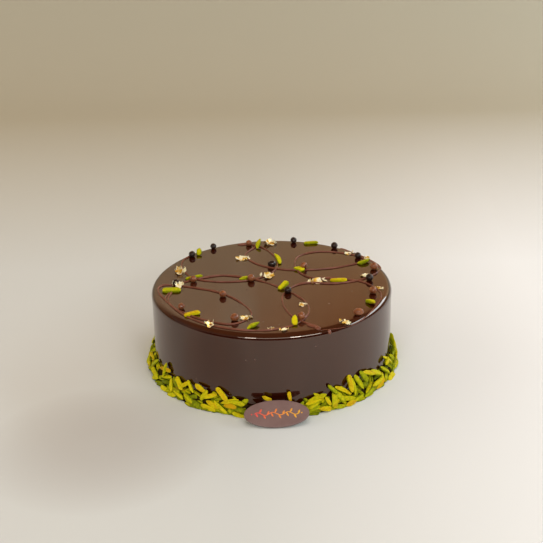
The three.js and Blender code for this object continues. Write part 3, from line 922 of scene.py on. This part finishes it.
PRINT_HEIGHT = 0.12
SPRIG_HALF = 17.5  # half the stem's length
STEM_WIDTH = 0.7
STEM_STEPS = 60
WAVE_HIGH, WAVES = 1.1, 3
LEAVES, LEAF_LONG, LEAF_WIDE, LEAF_TURN = 12, 3.6, 1.5, 62
END_DOT, DOT_OUT = 1.2, 1.6
CORAL = (0.75, 0.09, 0.07, 1)
WARM_GOLD = (0.78, 0.42, 0.03, 1)


def stroke(path, wide, points, faces):
    """A printed line: a low flat bead along a path on the plaque's face."""
    rings = []
    for k, (x, y) in enumerate(path):
        x0, y0 = path[max(k - 1, 0)]
        x1, y1 = path[min(k + 1, len(path) - 1)]
        side = Vector((-(y1 - y0), x1 - x0, 0)).normalized()
        taper = wide / 2 * min(1, 0.25 + min(k, len(path) - 1 - k) / 3)
        ring = []
        for across, up in ((-1, -0.2), (-0.9, 0.7), (-0.4, 1), (0.4, 1), (0.9, 0.7), (1, -0.2)):
            ring.append(Vector((x, y, half_thick + PRINT_HEIGHT * up)) + side * across * taper)
        rings.append(ring)
    skin(put(plaque_at, rings), points, faces)


def leaf_print(x, y, heading, long, wide, points, faces):
    """A printed leaf: a low pointed oval on the plaque's face."""
    rings = []
    turn = math.radians(heading)
    for row in range(9):
        along = -math.cos(math.pi * (0.04 + 0.92 * row / 8))
        half = wide / 2 * (1 - along * along) ** 0.8
        ring = []
        for across, up in ((-1, -0.2), (-0.85, 0.7), (0, 1), (0.85, 0.7), (1, -0.2)):
            px = (along + 1) * long / 2
            py = across * half
            ring.append(
                Vector(
                    (
                        x + px * math.cos(turn) - py * math.sin(turn),
                        y + px * math.sin(turn) + py * math.cos(turn),
                        half_thick + PRINT_HEIGHT * up,
                    )
                )
            )
        rings.append(ring)
    skin(put(plaque_at, rings), points, faces)


def on_wave(x):
    """The stem's height across the plaque at this place along it."""
    return WAVE_HIGH * math.sin((x / SPRIG_HALF + 1) / 2 * math.pi * 2 * WAVES)


points, faces = [], []
stem = []
for k in range(STEM_STEPS + 1):
    x = SPRIG_HALF * (2 * k / STEM_STEPS - 1)
    stem.append((x, on_wave(x)))
stroke(stem, STEM_WIDTH, points, faces)
for k in range(LEAVES):
    x = SPRIG_HALF * (-0.92 + 1.84 * k / (LEAVES - 1))
    heading = LEAF_TURN if k % 2 else -LEAF_TURN
    leaf_print(x, on_wave(x), heading, LEAF_LONG, LEAF_WIDE, points, faces)
for x in (-SPRIG_HALF - DOT_OUT, SPRIG_HALF + DOT_OUT):
    leaf_print(x - END_DOT / 2, 0, 0, END_DOT, END_DOT, points, faces)

sprig, draw_on, shader = new_finish("cocoa_butter_print", IOR=1.46)
aside = draw_on.node("ShaderNodeSeparateXYZ", {}, {0: draw_on.place()}, 0)
to_gold = aside.clamp(-0.012, 0.02) + 0.1 * (draw_on.cloud(400, 2) - 0.5)
vary(shader, "Base Color", draw_on.blend(to_gold, CORAL, WARM_GOLD))
vary(shader, "Roughness", 0.4 + 0.15 * draw_on.cloud(600, 2))
add_piece("printed_sprig", points, faces, sprig, "plaque")

# ---------------------------------------------------------------- the studio
# A pale table top that sweeps up into a warm backdrop. Soft light falls from above, from a strip
# in front with three brighter parts, and cooler from the right. The glaze mirrors the backdrop,
# the strip and the light at the right.

TABLE_SHADED_LEFT, TABLE_LIT_RIGHT = (0.64, 0.69, 0.68, 1), (0.88, 0.94, 0.96, 1)
TABLE_PAINTED_SHADE = (0.3, 0.26, 0.22, 1)
DROP_LOW_SHADED = (0.48, 0.46, 0.36, 1)
DROP_MID_LEFT, DROP_MID_RIGHT = (0.74, 0.63, 0.43, 1), (0.92, 0.65, 0.37, 1)
DROP_TOP_LEFT, DROP_TOP_RIGHT = (0.97, 0.735, 0.485, 1), (0.8, 0.435, 0.205, 1)
STRIPE = (1.0, 0.83, 0.6, 1)
TABLE_REACH = 9.0  # metres, as all of the studio is
SWEEP_FROM, SWEEP_RADIUS, SWEEP_STEPS = 0.85, 0.35, 12  # behind here the table turns up
DROP_HEIGHT = 1.6
SCREEN_DEEP, SCREEN_PALE = (0.008, 0.008, 0.008, 1), (0.012, 0.01, 0.01, 1)
SCREEN_RADIUS, SCREEN_TURN, SCREEN_FLATS = 0.46, 85, 24
SCREEN_FOOT, SCREEN_TOP = 0.001, 0.18
ROOM_TONES = [
    (0.0, (0.62, 0.57, 0.5, 1)), (0.35, (0.5, 0.44, 0.36, 1)), (0.8, (0.68, 0.33, 0.14, 1)),
]
ROOM_STRENGTH = 0.45

bpy.context.scene.view_settings.view_transform = "Standard"

floor_finish, draw_on, shader = new_finish("table_top", Roughness=0.6, IOR=1.3)
place = draw_on.place()
aside = draw_on.node("ShaderNodeSeparateXYZ", {}, {0: place}, 0)
back = draw_on.node("ShaderNodeSeparateXYZ", {}, {0: place}, 1)
high = draw_on.node("ShaderNodeSeparateXYZ", {}, {0: place}, 2)
# Painted light on the table: darker at the left, lighter and cooler at the right, with a patch of
# painted shade in front at the left that the glaze mirrors.
table_with_painted_light = draw_on.blend(aside.clamp(-0.02, 0.25), TABLE_SHADED_LEFT, TABLE_LIT_RIGHT)
left_of, in_front = aside + 0.13, back + 0.14  # a dim patch in front at the left
painted_shade_patch = 1 - (left_of * left_of + in_front * in_front).clamp(0.0004, 0.008)
table_with_painted_light = draw_on.blend(0.35 * painted_shade_patch, table_with_painted_light, TABLE_PAINTED_SHADE)
drop_mid = draw_on.blend(aside.clamp(-0.15, 0.15), DROP_MID_LEFT, DROP_MID_RIGHT)
drop_top = draw_on.blend(aside.clamp(-0.15, 0.15), DROP_TOP_LEFT, DROP_TOP_RIGHT)
stripe = 1 - ((aside + 0.07) * (aside + 0.07)).clamp(0.0, 0.0022)  # upright, left of the middle
drop_top = draw_on.blend(0.85 * stripe, drop_top, STRIPE)
drop_high = draw_on.blend(high.clamp(0.5, 0.68), drop_mid, drop_top)
# The backdrop is painted darker low down, as shade near the table.
drop = draw_on.blend(high.clamp(0.25, 0.45), DROP_LOW_SHADED, drop_high)
vary(shader, "Base Color", draw_on.blend(back.clamp(0.2, 0.8), table_with_painted_light, drop))
sweep = []
for step in range(SWEEP_STEPS + 1):
    turn = math.pi / 2 * step / SWEEP_STEPS
    sweep.append(
        (SWEEP_FROM + SWEEP_RADIUS * math.sin(turn), SWEEP_RADIUS * (1 - math.cos(turn)))
    )
top_edge = (SWEEP_FROM + SWEEP_RADIUS, DROP_HEIGHT)
outline = [(-TABLE_REACH, 0.0), (-0.6, 0.0), (0.6, 0.0), *sweep, top_edge]
table_mesh = bpy.data.meshes.new("table_top")
corners = [(x, y, z) for y, z in outline for x in (-TABLE_REACH, TABLE_REACH)]
table_mesh.from_pydata(
    corners, [], [(2 * k, 2 * k + 1, 2 * k + 3, 2 * k + 2) for k in range(len(outline) - 1)]
)
for face in table_mesh.polygons:
    face.use_smooth = True
table_mesh.materials.append(floor_finish)
table = bpy.data.objects.new("table_top", table_mesh)
bpy.context.scene.collection.objects.link(table)

# A dark screen that only the glaze sees, low in front, for the line under the shoulder's shine.
screen_mesh = bpy.data.meshes.new("dark_screen")
corners = []
for step in range(SCREEN_FLATS + 1):
    turn = math.radians(SCREEN_TURN * (2 * step / SCREEN_FLATS - 1))
    for height in (SCREEN_FOOT, SCREEN_TOP):
        corners.append((SCREEN_RADIUS * math.sin(turn), -SCREEN_RADIUS * math.cos(turn), height))
screen_mesh.from_pydata(
    corners, [], [(2 * k, 2 * k + 1, 2 * k + 3, 2 * k + 2) for k in range(SCREEN_FLATS)]
)
screen_finish, draw_on, shader = new_finish("dark_screen", Roughness=1.0, Specular_IOR_Level=0.0)
vary(shader, "Base Color", draw_on.blend(draw_on.cloud(3), SCREEN_DEEP, SCREEN_PALE))
front = draw_on.node("ShaderNodeSeparateXYZ", {}, {0: draw_on.place()}, 1)
vary(shader, "Alpha", 1 - front.clamp(-0.3, -0.12))
screen_mesh.materials.append(screen_finish)
screen = bpy.data.objects.new("dark_screen", screen_mesh)
bpy.context.scene.collection.objects.link(screen)
screen.visible_camera = False
screen.visible_diffuse = False
screen.visible_transmission = False
screen.visible_shadow = False


def soft_light(name, azimuth, elevation, distance, wide, high, radiance, colour, shines=True):
    """A soft panel that faces the cake, from this direction round from the front."""
    lamp = bpy.data.lights.new(name, "AREA")
    lamp.shape = "RECTANGLE"
    lamp.size, lamp.size_y = wide, high
    lamp.energy = radiance * math.pi * wide * high
    lamp.color = colour
    panel = bpy.data.objects.new(name, lamp)
    turn, rise = math.radians(azimuth), math.radians(elevation)
    out = Vector(
        (math.sin(turn) * math.cos(rise), -math.cos(turn) * math.cos(rise), math.sin(rise))
    )
    panel.location = Vector((0, 0, 0.05)) + out * distance
    panel.rotation_mode = "QUATERNION"
    panel.rotation_quaternion = out.to_track_quat("Z", "Y")
    panel.visible_camera = False
    panel.visible_glossy = shines
    bpy.context.scene.collection.objects.link(panel)


soft_light("overhead", 20, 80, 1.7, 1.4, 1.4, 1.8, (1.0, 0.97, 0.93), shines=False)
soft_light("front_strip", 6, 27, 1.7, 2.3, 0.24, 2.9, (1.0, 0.95, 0.88))
soft_light("front_left_bright", -20, 27, 1.66, 0.26, 0.24, 11.5, (1.0, 0.98, 0.97))
soft_light("front_right_bright", 21, 27, 1.66, 0.24, 0.24, 18.0, (1.0, 0.99, 0.98))
soft_light("front_far_bright", 35, 27, 1.66, 0.55, 0.24, 5.0, (1.0, 0.99, 0.98))
soft_light("cool_right", 112, 26, 1.5, 2.0, 0.32, 6.0, (0.78, 0.91, 1.0))
soft_light("warm_left", -95, 20, 1.6, 1.6, 1.0, 1.5, (1.0, 0.95, 0.88), shines=False)

world = bpy.data.worlds.new("room")
bpy.context.scene.world = world
world.use_nodes = True
room = Wire(world.node_tree)
sky = room.node("ShaderNodeTexCoord", {}, {}, "Generated")
rise = room.node("ShaderNodeSeparateXYZ", {}, {0: sky}, 2)
tone = room.node("ShaderNodeValToRGB", {"stops": ROOM_TONES}, {0: rise})
background = world.node_tree.nodes["Background"]
world.node_tree.links.new(tone.socket, background.inputs["Color"])
background.inputs["Strength"].default_value = ROOM_STRENGTH
